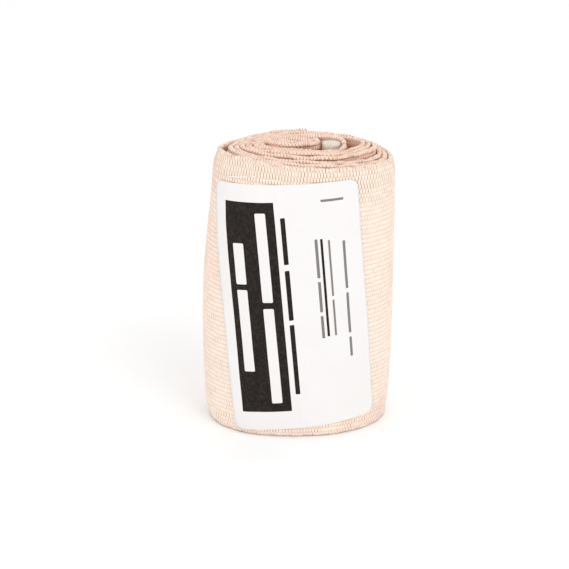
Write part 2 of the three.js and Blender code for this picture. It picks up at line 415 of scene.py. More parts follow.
def cloth_stretch(name, start, end, column_size, rows):
    """A stretch of the band. rows are places across the band, as shares of its width."""
    first, last = length_at(start), length_at(end)
    columns = round((last - first) / column_size)
    obj = unit_grid(name, columns, len(rows) - 1)
    u, v = grid_values(obj)
    across = np.interp(v * (len(rows) - 1), np.arange(len(rows)), rows) * BAND_WIDTH
    across = np.clip(across, RIM_ROOM, BAND_WIDTH - RIM_ROOM)
    wound = wound_at(first + u * (last - first))
    places, length = band_places(wound, across)
    on_outer_turn = end <= OUTER_END
    set_places(obj, places, upright_length(wound, across) if on_outer_turn else length, across)
    wall_maker = obj.modifiers.new("cloth thickness", "SOLIDIFY")
    wall_maker.thickness = BAND_THICKNESS
    wall_maker.offset = 0
    smooth(obj)
    print(name, "columns", columns, "rows", len(rows) - 1)
    return obj


outer_rows = np.linspace(0, 1, RIB_COUNT * 4 + 1)
outer_turn = cloth_stretch("outer_turn", FREE_END, OUTER_END, OUTER_COLUMN, outer_rows)
# The inner turns show only near their edges, so their rows crowd there
inner_rows = np.concatenate([
    np.linspace(0, 0.05, 8),
    np.linspace(0.1, 0.85, 16),
    np.linspace(0.88, 1, 29),
])
inner_turns = cloth_stretch("inner_turns", OUTER_END, LAST_WOUND, INNER_COLUMN, inner_rows)


# %% [markdown]
# ## The selvedges
# Along both edges of the band the yarns turn back in small loops, so the rim is a thick, bumpy
# bead and not a cut edge. It could be a row of separate loops, but one tube with a wave along
# it gives the same bumps with far fewer faces. The tube is a grid wrapped round the rim.

# %% Room for the rim between the turns
BEAD_OUT = 0.74 * MM
BEAD_SLIMMEST = 0.62 * MM
BEAD_WIDEST = 1.3 * MM
COIL_BEAD_WIDEST = 2.2 * MM
ROOM_POINTS = 2600
ROOM_HEIGHT = 0.985
ROOM_SHARE = 0.98
ROOM_SMOOTHING = 7
BESIDE = 0.5 * MM
# In turns: where the coil starts, and from how far on the band counts as another turn
COIL_START = 6.4
ANOTHER_TURN = 0.4


def rim_room():
    """Half the room from the wall's middle to the next turn, outwards and inwards."""
    wound = wound_at(np.linspace(0, BAND_LENGTH, ROOM_POINTS))
    spots, outward = wall(wound, np.full(ROOM_POINTS, ROOM_HEIGHT))
    room = np.full((ROOM_POINTS, 2), np.inf)
    for i in range(ROOM_POINTS):
        away = spots - spots[i]
        sideways = np.abs(away[:, 0] * outward[i, 1] - away[:, 1] * outward[i, 0])
        beside = (sideways < BESIDE) & (np.abs(wound - wound[i]) > ANOTHER_TURN)
        gaps = away[beside] @ outward[i] / 2
        room[i, 0] = gaps[gaps > 0].min(initial=np.inf)
        room[i, 1] = -gaps[gaps < 0].max(initial=-np.inf)
    widest = np.where(wound > COIL_START, COIL_BEAD_WIDEST, BEAD_WIDEST)[:, None]
    fitted = np.clip(room * ROOM_SHARE, BEAD_SLIMMEST, None)
    room = np.where(room > widest, BEAD_OUT, fitted)
    window = np.hanning(2 * ROOM_SMOOTHING + 1)
    window /= window.sum()
    padded = [np.pad(side, ROOM_SMOOTHING, mode="edge") for side in room.T]
    return wound, [np.convolve(side, window, mode="valid") for side in padded]


ROOM_KNOTS, (ROOM_OUT, ROOM_IN) = rim_room()
print("half rim room in mm:", round(ROOM_OUT.min() / MM, 2), "to", round(ROOM_OUT.max() / MM, 2))

# %% Loops of the bead
LOOP_PITCH = 1.05 * MM
# Three rows of the weave go round a bead. The top bead's UV map starts 62 such rows up, so its
# rows stay whole and the weave finds it near the band's top edge.
BEAD_ROW = 2 * math.pi / 3 * BEAD_OUT
ROWS_BELOW_TOP = 62


def bead_swell(length, angle):
    """How thick the bead is, loop by loop, as a share of its usual thickness."""
    sway = 0.3 * wave(length, 8.3) + 0.11 * wave(length, 3.1, 1) + 0.35 * np.sin(angle)
    loops = np.cos(2 * math.pi * (length / LOOP_PITCH + sway))
    size = 0.13 + 0.07 * wave(length, 12.7)
    return 0.95 + size * loops + 0.06 * wave(length, 6.1) + 0.04 * wave(length, 2.6, 2)


print("loops along an edge:", round(BAND_LENGTH / LOOP_PITCH))

# %% Looped selvedge along an edge
BEAD_UP = 0.8 * MM
BEAD_OFF_FLOOR = 1.18 * BEAD_UP
TOP_COLUMN = 0.21 * MM
BOTTOM_COLUMN = 0.35 * MM
SAME_PLACE = 0.001 * MM


def selvedge(name, top, column_size, around):
    """A looped bead along the whole top or bottom edge of the band."""
    columns = round(BAND_LENGTH / column_size)
    obj = unit_grid(name, columns, around)
    u, v = grid_values(obj)
    length = u * BAND_LENGTH
    wound = wound_at(length)
    angle = 2 * math.pi * v
    swell = bead_swell(length, angle)
    middle = BAND_WIDTH - BEAD_UP if top else BEAD_OFF_FLOOR
    z = middle + lift_at(wound) + (rim_wave(length) if top else 0)
    spots, outward = wall(wound, z / BAND_WIDTH)
    half = np.where(
        np.cos(angle) > 0,
        np.interp(wound, ROOM_KNOTS, ROOM_OUT),
        np.interp(wound, ROOM_KNOTS, ROOM_IN),
    )
    out = half * np.cos(angle) * swell + uneven(length, np.full(len(u), middle))
    up = BEAD_UP * np.sin(angle) * swell
    places = np.column_stack([spots + outward * out[:, None], z + up])
    below = ROWS_BELOW_TOP * BEAD_ROW if top else 0
    set_places(obj, places, length, (angle + math.pi / 3) * BEAD_OUT + below)
    bm = bmesh.new()
    bm.from_mesh(obj.data)
    bmesh.ops.remove_doubles(bm, verts=bm.verts, dist=SAME_PLACE)
    ends = [edge for edge in bm.edges if edge.is_boundary]
    bmesh.ops.holes_fill(bm, edges=ends, sides=0)
    bmesh.ops.recalc_face_normals(bm, faces=bm.faces)
    bm.to_mesh(obj.data)
    bm.free()
    smooth(obj)
    print(name, "faces", len(obj.data.polygons))
    return obj


top_selvedge = selvedge("top_selvedge", top=True, column_size=TOP_COLUMN, around=8)
bottom_selvedge = selvedge("bottom_selvedge", top=False, column_size=BOTTOM_COLUMN, around=6)

# %% [markdown]
# ## The label
# The label is a sheet of smooth white paper with rounded corners that follows the curve of the
# front. Its print is not copied. A black block and plain bars keep the layout, as on a blank
# form. The sheet is a grid whose rows get shorter at the corners, laid out on the cloth.

# %% Rows of the label, and places on the front
LABEL_WIDTH = 50.8 * MM
LABEL_HEIGHT = 91.6 * MM
LABEL_CORNER = 3 * MM
CORNER_ROWS = 7
MIDDLE_ROWS = 49


def label_heights():
    """Row places up the label, close together at its rounded corners."""
    straight = LABEL_HEIGHT / 2 - LABEL_CORNER
    angles = np.linspace(0, math.pi / 2, CORNER_ROWS)
    corner = straight + LABEL_CORNER * np.sin(angles)
    middle = np.linspace(-straight, straight, MIDDLE_ROWS)
    return np.concatenate([-corner[:0:-1], middle, corner[1:]])


def front_places(along, z):
    """Where the outer turn is reached by going along the cloth from the front's middle."""
    found = np.empty(len(along))
    for height in np.unique(z):
        rows = z == height
        wound, passed, middle = outer_turn_line(height / BAND_WIDTH)
        found[rows] = np.interp(along[rows] + middle, passed, wound)
    return found


print("label rows:", len(label_heights()) - 1)

# %% The label sheet
LABEL_FOOT = 4 * MM
LABEL_SIDEWAYS = 0.3 * MM
LABEL_TURN = math.radians(5.4)
LABEL_THICKNESS = 0.25 * MM
LABEL_UNDER = BAND_THICKNESS / 2 + 0.16 * MM
LABEL_COLUMNS = 60
FOLLOWS_CLOTH = 0.85
CREASE_HEIGHT = 0.18 * MM
CREASE_ACROSS = -1.6 * MM
CREASE_WIDTH = 0.7 * MM
HEIGHT_DIGITS = 7


def make_label():
    heights = label_heights()
    obj = unit_grid("label_sheet", LABEL_COLUMNS, len(heights) - 1)
    u, v = grid_values(obj)
    up = np.interp(v * (len(heights) - 1), np.arange(len(heights)), heights)
    past = np.clip(np.abs(up) - (LABEL_HEIGHT / 2 - LABEL_CORNER), 0, LABEL_CORNER)
    half = LABEL_WIDTH / 2 - LABEL_CORNER + np.sqrt(np.maximum(LABEL_CORNER**2 - past**2, 0))
    across = half * (2 * u - 1)
    along = LABEL_SIDEWAYS + across * math.cos(LABEL_TURN) - up * math.sin(LABEL_TURN)
    z = LABEL_FOOT + LABEL_HEIGHT / 2
    z = z + across * math.sin(LABEL_TURN) + up * math.cos(LABEL_TURN)
    z = np.round(z, HEIGHT_DIGITS)
    wound = front_places(along, z)
    spots, outward = wall(wound, z / BAND_WIDTH)
    crease = CREASE_HEIGHT * np.exp(-(((across - CREASE_ACROSS) / CREASE_WIDTH) ** 2))
    wavy = FOLLOWS_CLOTH * uneven(length_at(wound), z) + crease
    out = LABEL_UNDER + LABEL_THICKNESS / 2 + wavy
    set_places(obj, np.column_stack([spots + outward * out[:, None], z]), across, up)
    sheet_wall = obj.modifiers.new("paper thickness", "SOLIDIFY")
    sheet_wall.thickness = LABEL_THICKNESS
    sheet_wall.offset = 0
    smooth(obj)
    print("label sheet faces", len(obj.data.polygons))
    return obj


label_sheet = make_label()

# %% [markdown]
# ## The dressing pad
# The pad in the core is a soft folded layer of absorbent wadding. A box would look hard, so
# the solid's copy is remeshed and blown up a little by a cloth simulation, which rounds its
# edges and lets it fill the core. Only its top end shows.

# %% A cloth simulation that fills out a soft piece
SIM_SCALE = 50
SIM_PRESSURE = 4
SIM_FRAMES = 20
FARTHEST_MOVE = 0.3 * MM


def freeze(obj):
    """Apply the modifiers, so that the mesh is what they made."""
    depsgraph = bpy.context.evaluated_depsgraph_get()
    obj.data = bpy.data.meshes.new_from_object(obj.evaluated_get(depsgraph))
    obj.modifiers.clear()


def places_of(obj):
    co = np.empty(len(obj.data.vertices) * 3, dtype=np.float32)
    obj.data.vertices.foreach_get("co", co)
    return co


def move_to(obj, co):
    obj.data.vertices.foreach_set("co", co.astype(np.float32))
    obj.data.update()


def fill_out(obj):
    """Blow the piece up from inside. It is simulated larger, because cloth this small is stiff."""
    start = places_of(obj)
    move_to(obj, start * SIM_SCALE)
    cloth = obj.modifiers.new("filling", "CLOTH")
    cloth.settings.use_pressure = True
    cloth.settings.uniform_pressure_force = SIM_PRESSURE
    cloth.settings.effector_weights.gravity = 0
    for number in range(1, SIM_FRAMES + 1):
        bpy.context.scene.frame_set(number)
    freeze(obj)
    bpy.context.scene.frame_set(1)
    moved = (places_of(obj) / SIM_SCALE - start).reshape(-1, 3)
    far = np.linalg.norm(moved, axis=1)
    print(obj.name, "moved up to", round(float(far.max()) / MM, 2), "mm")
    moved *= (FARTHEST_MOVE / np.maximum(far, FARTHEST_MOVE))[:, None]
    move_to(obj, start + moved.ravel())


# %% The padded dressing
# The pad swells, so it starts from a slightly smaller shape
START_SCALE = (0.95, 0.94, 0.996)
PAD_VOXEL = 0.6 * MM
SAME_CORNER = 0.01 * MM


def make_pad():
    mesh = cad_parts["absorbent_pad"].data.copy()
    obj = link(bpy.data.objects.new("dressing_pad", mesh))
    bm = bmesh.new()
    bm.from_mesh(mesh)
    bmesh.ops.remove_doubles(bm, verts=bm.verts, dist=SAME_CORNER)
    middle = sum((vert.co for vert in bm.verts), Vector()) / len(bm.verts)
    bmesh.ops.translate(bm, vec=-middle, verts=bm.verts)
    bmesh.ops.scale(bm, vec=START_SCALE, verts=bm.verts)
    bmesh.ops.translate(bm, vec=middle, verts=bm.verts)
    bm.to_mesh(mesh)
    bm.free()
    remesh = obj.modifiers.new("even faces", "REMESH")
    remesh.mode = "VOXEL"
    remesh.voxel_size = PAD_VOXEL
    freeze(obj)
    fill_out(obj)
    rounding = obj.modifiers.new("rounding", "SUBSURF")
    rounding.levels = 1
    rounding.render_levels = 1
    smooth(obj)
    print("dressing pad faces before rounding:", len(obj.data.polygons))
    return obj


dressing_pad = make_pad()


# %% [markdown]
# ## Thread
# The free end is hemmed with a zigzag stitch, and a few long white stitches show on the cloth
# above the label. Each thread is a thin round tube swept along points that lie on the cloth.

# %% Threads that lie on the cloth
THREAD_RADIUS = 0.19 * MM
THREAD_OUT = BAND_THICKNESS / 2 + 0.14 * MM


def sew(name, strands):
    """One mesh of round threads. Each strand is a row of places."""
    curve = bpy.data.curves.new(name, "CURVE")
    curve.dimensions = "3D"
    curve.bevel_depth = THREAD_RADIUS
    curve.bevel_resolution = 1
    curve.use_fill_caps = True
    for places in strands:
        spline = curve.splines.new("POLY")
        spline.points.add(len(places) - 1)
        for spot, place in zip(spline.points, places):
            spot.co = (*place, 1)
    swept = link(bpy.data.objects.new(name + "_path", curve))
    mesh = bpy.data.meshes.new_from_object(swept.evaluated_get(bpy.context.evaluated_depsgraph_get()))
    bpy.data.objects.remove(swept)
    obj = link(bpy.data.objects.new(name, mesh))
    smooth(obj)
    print(name, "faces", len(mesh.polygons))
    return obj


def on_cloth(wound, z):
    """Places just outside the cloth."""
    spots, outward = wall(wound, z / BAND_WIDTH)
    out = THREAD_OUT + uneven(length_at(wound), z) + rib_profile(z)
    return np.column_stack([spots + outward * out[:, None], z])


# %% The hem and the front stitches
HEM_MARGIN = 2.2 * MM
HEM_STEP = 1.3 * MM
HEM_NEAR = 1.4 * MM
HEM_FAR = 4.2 * MM
STITCH_POINTS = 14
# Each long stitch's ends along the cloth from the front's middle, then their heights, in mm
FRONT_STITCHES = [
    (-23.2, -16.6, 95.3, 96.3), (-14.8, -12.9, 96.9, 96.9), (-10.8, -4.2, 96.2, 96.5),
]


def make_hem():
    """A zigzag across the band beside its free end."""
    up = np.arange(HEM_MARGIN, BAND_WIDTH - HEM_MARGIN, HEM_STEP)
    in_from_end = np.where(np.arange(len(up)) % 2, HEM_NEAR, HEM_FAR)
    return sew("hem_stitches", [on_cloth(wound_at(in_from_end), up)])


def make_front_stitches():
    strands = []
    for left, right, left_height, right_height in FRONT_STITCHES:
        along = np.linspace(left, right, STITCH_POINTS) * MM
        z = np.linspace(left_height, right_height, STITCH_POINTS) * MM
        strands.append(on_cloth(front_places(along, z), z))
    return sew("front_stitches", strands)


hem_stitches = make_hem()
front_stitches = make_front_stitches()


# %% [markdown]
# ## Materials
# All the finishes are procedural. The crepe weave and the yarn's fuzz are node groups, because
# more than one material uses them. The weave reads the cloth's own UV map, in metres of
# cloth, so its ribs follow the band round every turn and meet the modelled ribs.

# %% Helpers that place and wire shader nodes
def wire(tree, given, socket):
    """Link a socket, or write a plain value into it."""
    if isinstance(given, bpy.types.NodeSocket):
        tree.links.new(given, socket)
    else:
        socket.default_value = given


def step(tree, operation, a, b=0.0, c=0.0):
    """One maths node. Returns its result."""
    maths = tree.nodes.new("ShaderNodeMath")
    maths.operation = operation
    for given, socket in zip((a, b, c), maths.inputs):
        wire(tree, given, socket)
    return maths.outputs[0]


def ramp(tree, value, low, high, to_low=0.0, to_high=1.0):
    """A smooth step of value between low and high."""
    mapped = tree.nodes.new("ShaderNodeMapRange")
    mapped.interpolation_type = "SMOOTHSTEP"
    for given, socket in zip((value, low, high, to_low, to_high), mapped.inputs):
        wire(tree, given, socket)
    return mapped.outputs[0]


def mix(tree, share, a, b):
    """Mix two colours. Plain colours are three numbers."""
    mixer = tree.nodes.new("ShaderNodeMix")
    mixer.data_type = "RGBA"
    a, b = [(*c, 1) if isinstance(c, tuple) else c for c in (a, b)]
    for given, socket in zip((share, a, b), (mixer.inputs[0], mixer.inputs[6], mixer.inputs[7])):
        wire(tree, given, socket)
    return mixer.outputs[2]


def noise(tree, vector, scale, detail=2.0):
    """A noise pattern from 0 to 1. The vector is in metres, the scale in patterns a metre."""
    texture = tree.nodes.new("ShaderNodeTexNoise")
    wire(tree, vector, texture.inputs["Vector"])
    wire(tree, scale, texture.inputs["Scale"])
    wire(tree, detail, texture.inputs["Detail"])
    return texture.outputs[0]


def new_group(name, inputs, outputs):
    """A shader node group with named sockets."""
    tree = bpy.data.node_groups.new(name, "ShaderNodeTree")
    for label, kind in inputs:
        tree.interface.new_socket(label, in_out="INPUT", socket_type="NodeSocket" + kind)
    for label, kind in outputs:
        tree.interface.new_socket(label, in_out="OUTPUT", socket_type="NodeSocket" + kind)
    return tree, tree.nodes.new("NodeGroupInput").outputs, tree.nodes.new("NodeGroupOutput").inputs


def use_group(tree, group, **values):
    """Place a group in a material, with its own values."""
    placed = tree.nodes.new("ShaderNodeGroup")
    placed.node_tree = group
    for label, given in values.items():
        wire(tree, given, placed.inputs[label])
    return placed.outputs


# %% Rows and slits of the weave
# How fine the changes along the cloth are, in patterns a metre
WANDER_SCALE = 90.0
SWAY_SCALE = 470.0


def rows_and_slits(tree, given):
    """The place in a row, the place between two slits, that yarn's luck, and the sway."""
    apart = tree.nodes.new("ShaderNodeSeparateXYZ")
    wire(tree, given["Cloth"], apart.inputs[0])
    # The row of the weave, with a little sway, and the place in that row
    wander = step(tree, "SUBTRACT", noise(tree, given["Cloth"], WANDER_SCALE), 0.5)
    sway = step(tree, "SUBTRACT", noise(tree, given["Cloth"], SWAY_SCALE), 0.5)
    rib = step(tree, "DIVIDE", apart.outputs[1], given["Rib"])
    rib = step(tree, "MULTIPLY_ADD", sway, 0.22, rib)
    row = step(tree, "FLOOR", rib)
    in_rib = step(tree, "FRACT", rib)
    # Every second row starts half a slit aside, and each row a little further by luck
    shift = tree.nodes.new("ShaderNodeTexWhiteNoise")
    shift.noise_dimensions = "1D"
    wire(tree, row, shift.inputs["W"])
    aside = step(tree, "MULTIPLY", step(tree, "MODULO", row, 2.0), 0.5)
    aside = step(tree, "MULTIPLY_ADD", shift.outputs["Value"], 0.3, aside)
    slit = step(tree, "DIVIDE", apart.outputs[0], given["Slit"])
    slit = step(tree, "ADD", step(tree, "MULTIPLY_ADD", wander, 1.5, slit), aside)
    column = step(tree, "FLOOR", slit)
    in_slit = step(tree, "FRACT", slit)
    # Each yarn between two slits has its own luck
    cell = tree.nodes.new("ShaderNodeCombineXYZ")
    wire(tree, column, cell.inputs[0])
    wire(tree, row, cell.inputs[1])
    chance = tree.nodes.new("ShaderNodeTexWhiteNoise")
    wire(tree, cell.outputs[0], chance.inputs["Vector"])
    return in_rib, in_slit, chance.outputs["Value"], sway


# %% The crepe weave as a node group
OPENNESS_SCALE = 70.0


def make_weave():
    """Yarn height, tone, and the valleys and slits painted with shade, for a place on the cloth in
    metres.
    """
    tree, given, result = new_group(
        "crepe_weave",
        [("Cloth", "Vector"), ("Rib", "Float"), ("Slit", "Float"), ("Open", "Float")],
        [("Height", "Float"), ("Valley", "Float"), ("Gap", "Float"), ("Tone", "Float")],
    )
    in_rib, in_slit, luck, sway = rows_and_slits(tree, given)
    # The yarn is highest in the middle of its row, and rounded at its sides
    off_crest = step(tree, "ABSOLUTE", step(tree, "MULTIPLY_ADD", in_rib, 2.0, -1.0))
    off_yarn = step(tree, "ABSOLUTE", step(tree, "MULTIPLY_ADD", in_slit, 2.0, -1.0))
    crest = step(tree, "SUBTRACT", 1.0, step(tree, "POWER", off_crest, 2.6))
    bulge = step(tree, "SUBTRACT", 1.0, step(tree, "POWER", off_yarn, 3.0))
    height = step(tree, "MULTIPLY", crest, step(tree, "MULTIPLY_ADD", bulge, 0.6, 0.4))
    # Slits gape by luck, and more of them where Open is high
    closed = ramp(tree, noise(tree, given["Cloth"], OPENNESS_SCALE), 0.35, 0.7, 0.6, 0.35)
    closed = step(tree, "MULTIPLY_ADD", given["Open"], -0.5, closed)
    opened = ramp(tree, step(tree, "SUBTRACT", luck, closed), -0.3, 0.55)
    narrow = step(tree, "MULTIPLY_ADD", sway, 0.5, 0.56)
    gap = step(tree, "MULTIPLY", ramp(tree, off_yarn, narrow, 0.9), opened)
    gap = step(tree, "MULTIPLY", gap, ramp(tree, off_crest, 0.95, 0.45))
    wire(tree, height, result["Height"])
    # The valley mask is where the materials paint shade between the rows
    wire(tree, ramp(tree, off_crest, 0.5, 1.0), result["Valley"])
    wire(tree, gap, result["Gap"])
    wire(tree, luck, result["Tone"])
    return tree


weave = make_weave()
print("crepe weave nodes:", len(weave.nodes))


# %% The yarn's fuzz as a node group
FIBRE_SCALE = 2600.0
DRIFT_SCALE = 45.0


def make_fuzz():
    """Fine fibres and slow changes of tone, for any yarn or wadding."""
    tree, given, result = new_group(
        "yarn_fuzz", [("Place", "Vector")], [("Fibre", "Float"), ("Drift", "Float")],
    )
    wire(tree, noise(tree, given["Place"], FIBRE_SCALE, 3.0), result["Fibre"])
    wire(tree, noise(tree, given["Place"], DRIFT_SCALE), result["Drift"])
    return tree


fuzz = make_fuzz()
print("yarn fuzz nodes:", len(fuzz.nodes))


# %% A new material with its main shader
def new_material(name, roughness):
    material = bpy.data.materials.new(name)
    material.use_nodes = True
    tree = material.node_tree
    shader = tree.nodes["Principled BSDF"]
    shader.inputs["Roughness"].default_value = roughness
    return material, tree, shader


def bump(tree, height, distance):
    relief = tree.nodes.new("ShaderNodeBump")
    wire(tree, height, relief.inputs["Height"])
    relief.inputs["Distance"].default_value = distance
    relief.inputs["Strength"].default_value = 1.0
    return relief.outputs[0]


# %% [markdown]
# ## Crepe cloth
# The cloth is peach, paler on the yarns, with brown shade painted into the slits between them
# and the valleys between the ribs. One plain colour with bump would look like rubber, so the
# weave group mixes the colours as well as the relief. The slits gape near both edges, and warm
# shade is painted inside the roll, so deeper cloth is redder.

# %% Crepe cloth and its selvedge
SLIT_PITCH = 1.07 * MM
CREPE_RELIEF = 0.2 * MM
BEAD_RELIEF = 0.15 * MM
RIM_SHADE = 5 * MM
PALE_PEACH = (0.93, 0.79, 0.675)
ROSE_PEACH = (0.91, 0.735, 0.63)
# Deep peach is painted shade in the valleys, and the darker side of each yarn's own tone
DEEP_PEACH = (0.62, 0.36, 0.23)
# Colour of the warm shade painted inside the roll
PAINTED_WARM_SHADE = (0.97, 0.48, 0.32)
# Brown shade painted into the slits between the yarns
PAINTED_SLIT_SHADE = (0.40, 0.175, 0.085)


def cloth_material(name, rib, slit, relief, rim_painted_shade, patchy):
    """Crepe, with warm shade painted redder below the rim and on the inner turns. patchy is how much
    each yarn differs.
    """
    material, tree, shader = new_material(name, roughness=0.92)
    cloth = tree.nodes.new("ShaderNodeUVMap")
    cloth.uv_map = "UVMap"
    apart = tree.nodes.new("ShaderNodeSeparateXYZ")
    wire(tree, cloth.outputs[0], apart.inputs[0])
    up = apart.outputs[1]
    near_edge = step(tree, "MAXIMUM", ramp(tree, up, 0.8 * BAND_WIDTH, 0.96 * BAND_WIDTH),
                     ramp(tree, up, 0.14 * BAND_WIDTH, 0.01 * BAND_WIDTH, 0.0, 0.65))
    places = tree.nodes.new("ShaderNodeTexCoord").outputs["Object"]
    yarn = use_group(tree, weave, Cloth=cloth.outputs[0], Rib=rib, Slit=slit, Open=near_edge)
    soft = use_group(tree, fuzz, Place=places)
    tint = mix(tree, ramp(tree, soft["Drift"], 0.3, 0.7), PALE_PEACH, ROSE_PEACH)
    # Painted warm shade, stronger further below the band's top edge
    below = ramp(tree, up, BAND_WIDTH, BAND_WIDTH - RIM_SHADE, 0.0, rim_painted_shade)
    # More painted warm shade on the inner turns, past the outer turn's cloth
    inside = ramp(tree, apart.outputs[0], OUTER_LENGTH, 1.4 * OUTER_LENGTH, 0.0, 0.16)
    tint = mix(tree, step(tree, "ADD", below, inside), tint, PAINTED_WARM_SHADE)
    # Painted shade darkens the valleys between the ribs; the fibres and each yarn's luck add the
    # cloth's own tone
    shade = step(tree, "MULTIPLY", yarn["Valley"], 0.28)
    shade = step(tree, "MULTIPLY_ADD", step(tree, "SUBTRACT", soft["Fibre"], 0.5), 0.16, shade)
    shade = step(tree, "MULTIPLY_ADD", step(tree, "SUBTRACT", yarn["Tone"], 0.4), patchy, shade)
    colour = mix(tree, step(tree, "MAXIMUM", shade, 0.0), tint, DEEP_PEACH)
    # Brown shade is painted into the slits, stronger near the edges where they gape
    gap_share = step(tree, "MULTIPLY_ADD", near_edge, 0.45, 0.4)
    colour = mix(tree, step(tree, "MULTIPLY", yarn["Gap"], gap_share), colour, PAINTED_SLIT_SHADE)
    wire(tree, colour, shader.inputs["Base Color"])
    height = step(tree, "MULTIPLY_ADD", soft["Fibre"], 0.25, yarn["Height"])
    wire(tree, bump(tree, height, relief), shader.inputs["Normal"])
    shader.inputs["Sheen Weight"].default_value = 0.15
    return material


crepe = cloth_material(
    "crepe_cloth", RIB_PITCH, SLIT_PITCH, CREPE_RELIEF, rim_painted_shade=0.0, patchy=0.06,
)
# The inner turns are a copy of the crepe with warm shade painted below the rim
inner_crepe = cloth_material(
    "inner_crepe_cloth", RIB_PITCH, SLIT_PITCH, CREPE_RELIEF, rim_painted_shade=0.8, patchy=0.06,
)
# The selvedge gets the same painted shade between its loops and between its rows
edging = cloth_material(
    "selvedge_yarn", BEAD_ROW, LOOP_PITCH, BEAD_RELIEF, rim_painted_shade=0.0, patchy=0.22,
)
print("crepe nodes:", len(crepe.node_tree.nodes))


# %% [markdown]
# ## Wadding and thread
# The pad is matt wadding and the thread is plain cotton. Neither has a weave that shows at this
# size, so the fibres of the fuzz group alone give them their grain, and shade is painted into the
# hollows between the fibres.

# %% Wadding and thread
WADDING_RELIEF = 0.2 * MM
# The darker colours are shade painted into the hollows between the fibres, laid along the fibre grain
WADDING_HOLLOW_SHADE = (0.66, 0.59, 0.49)
WADDING_FIBRE = (0.80, 0.735, 0.65)
THREAD_HOLLOW_SHADE = (0.84, 0.79, 0.74)
THREAD_FIBRE = (0.95, 0.93, 0.90)


def wadding_material():
    material, tree, shader = new_material("dressing_wadding", roughness=0.95)
    places = tree.nodes.new("ShaderNodeTexCoord").outputs["Object"]
    soft = use_group(tree, fuzz, Place=places)
    # Shade is painted into the hollows of the fibre bump
    share = ramp(tree, soft["Fibre"], 0.25, 0.8)
    colour = mix(tree, share, WADDING_HOLLOW_SHADE, WADDING_FIBRE)
    wire(tree, colour, shader.inputs["Base Color"])
    wire(tree, bump(tree, soft["Fibre"], WADDING_RELIEF), shader.inputs["Normal"])
    return material


def thread_material():
    material, tree, shader = new_material("white_thread", roughness=0.8)
    places = tree.nodes.new("ShaderNodeTexCoord").outputs["Object"]
    soft = use_group(tree, fuzz, Place=places)
    # Shade is painted into the hollows between the fibres, along the grain
    colour = mix(tree, soft["Fibre"], THREAD_HOLLOW_SHADE, THREAD_FIBRE)
    wire(tree, colour, shader.inputs["Base Color"])
    return material


# %% [markdown]
# ## The label's print
# Each printed bar is a small mask, worked out in millimetres across and up the label, so its
# edges stay sharp at any size. The bars stand in for lines of print without being any letters.

# %% The printed bars
# How far the print leans across for each step up
PRINT_SLANT = 0.0125
MASK_ROUNDING = 1e-6
# Middle across, middle up, width, height and corner radius, in millimetres
BLOCK = [(-12.5, 0.7, 17.4, 78.6, 0.0)]
WHITE_BARS = [
    (-17.2, -7.1, 3.6, 31.0, 0.5), (-17.2, 18.0, 3.6, 15.0, 0.5),
    (-8.65, -16.9, 3.6, 36.6, 0.5), (-8.65, 20.0, 3.6, 32.6, 0.5),
]
DARK_BARS = [
    (-1.2, -18.6, 1.6, 27.0, 0.3), (-1.2, 5.9, 1.6, 18.6, 0.3), (-1.2, 25.9, 1.6, 17.0, 0.3),
    (11.1, 7.3, 0.85, 36.8, 0.0),
]
GREY_BARS = [
    (9.3, 18.6, 1.0, 14.4, 0.3), (9.3, 4.2, 1.0, 11.6, 0.3), (9.3, -7.3, 1.0, 8.6, 0.3),
    (13.6, 14.5, 0.7, 21.0, 0.2), (13.6, -4.3, 0.7, 13.8, 0.2),
    (18.6, 15.0, 0.9, 18.0, 0.3), (18.6, -3.4, 0.9, 15.6, 0.3), (18.6, -16.6, 0.9, 7.6, 0.3),
    (15.7, 39.4, 7.6, 0.9, 0.3),
]


def make_bar_group():
    """1 inside a bar with round corners, 0 outside it."""
    names = ["Across", "Up", "Middle across", "Middle up", "Half width", "Half height", "Corner"]
    tree, given, result = new_group(
        "printed_bar", [(name, "Float") for name in names], [("Mask", "Float")],
    )
    past = []
    for place, middle, half in (("Across", "Middle across", "Half width"),
                                ("Up", "Middle up", "Half height")):
        off = step(tree, "ABSOLUTE", step(tree, "SUBTRACT", given[place], given[middle]))
        straight = step(tree, "SUBTRACT", given[half], given["Corner"])
        past.append(step(tree, "MAXIMUM", step(tree, "SUBTRACT", off, straight), 0.0))
    corner = step(tree, "POWER", given["Corner"], 2.0)
    distance = step(tree, "MULTIPLY_ADD", past[0], past[0], step(tree, "POWER", past[1], 2.0))
    limit = step(tree, "ADD", corner, MASK_ROUNDING)
    wire(tree, step(tree, "LESS_THAN", distance, limit), result["Mask"])
    return tree


printed_bar = make_bar_group()
print("printed bars:", len(BLOCK + WHITE_BARS + DARK_BARS + GREY_BARS))


# %% Label paper
PAPER_RELIEF = 0.02 * MM
CLOUD_SCALE = 60.0
GRAIN_SCALE = 1500.0
SPECKLE_SCALE = 900.0
PAPER_CLOUD = (0.775, 0.755, 0.745)
PAPER_WHITE = (0.81, 0.795, 0.788)
INK_BLACK = (0.006, 0.003, 0.002)
INK_SPECKLE = (0.022, 0.015, 0.011)
PRINT_GREY = (0.20, 0.19, 0.18)


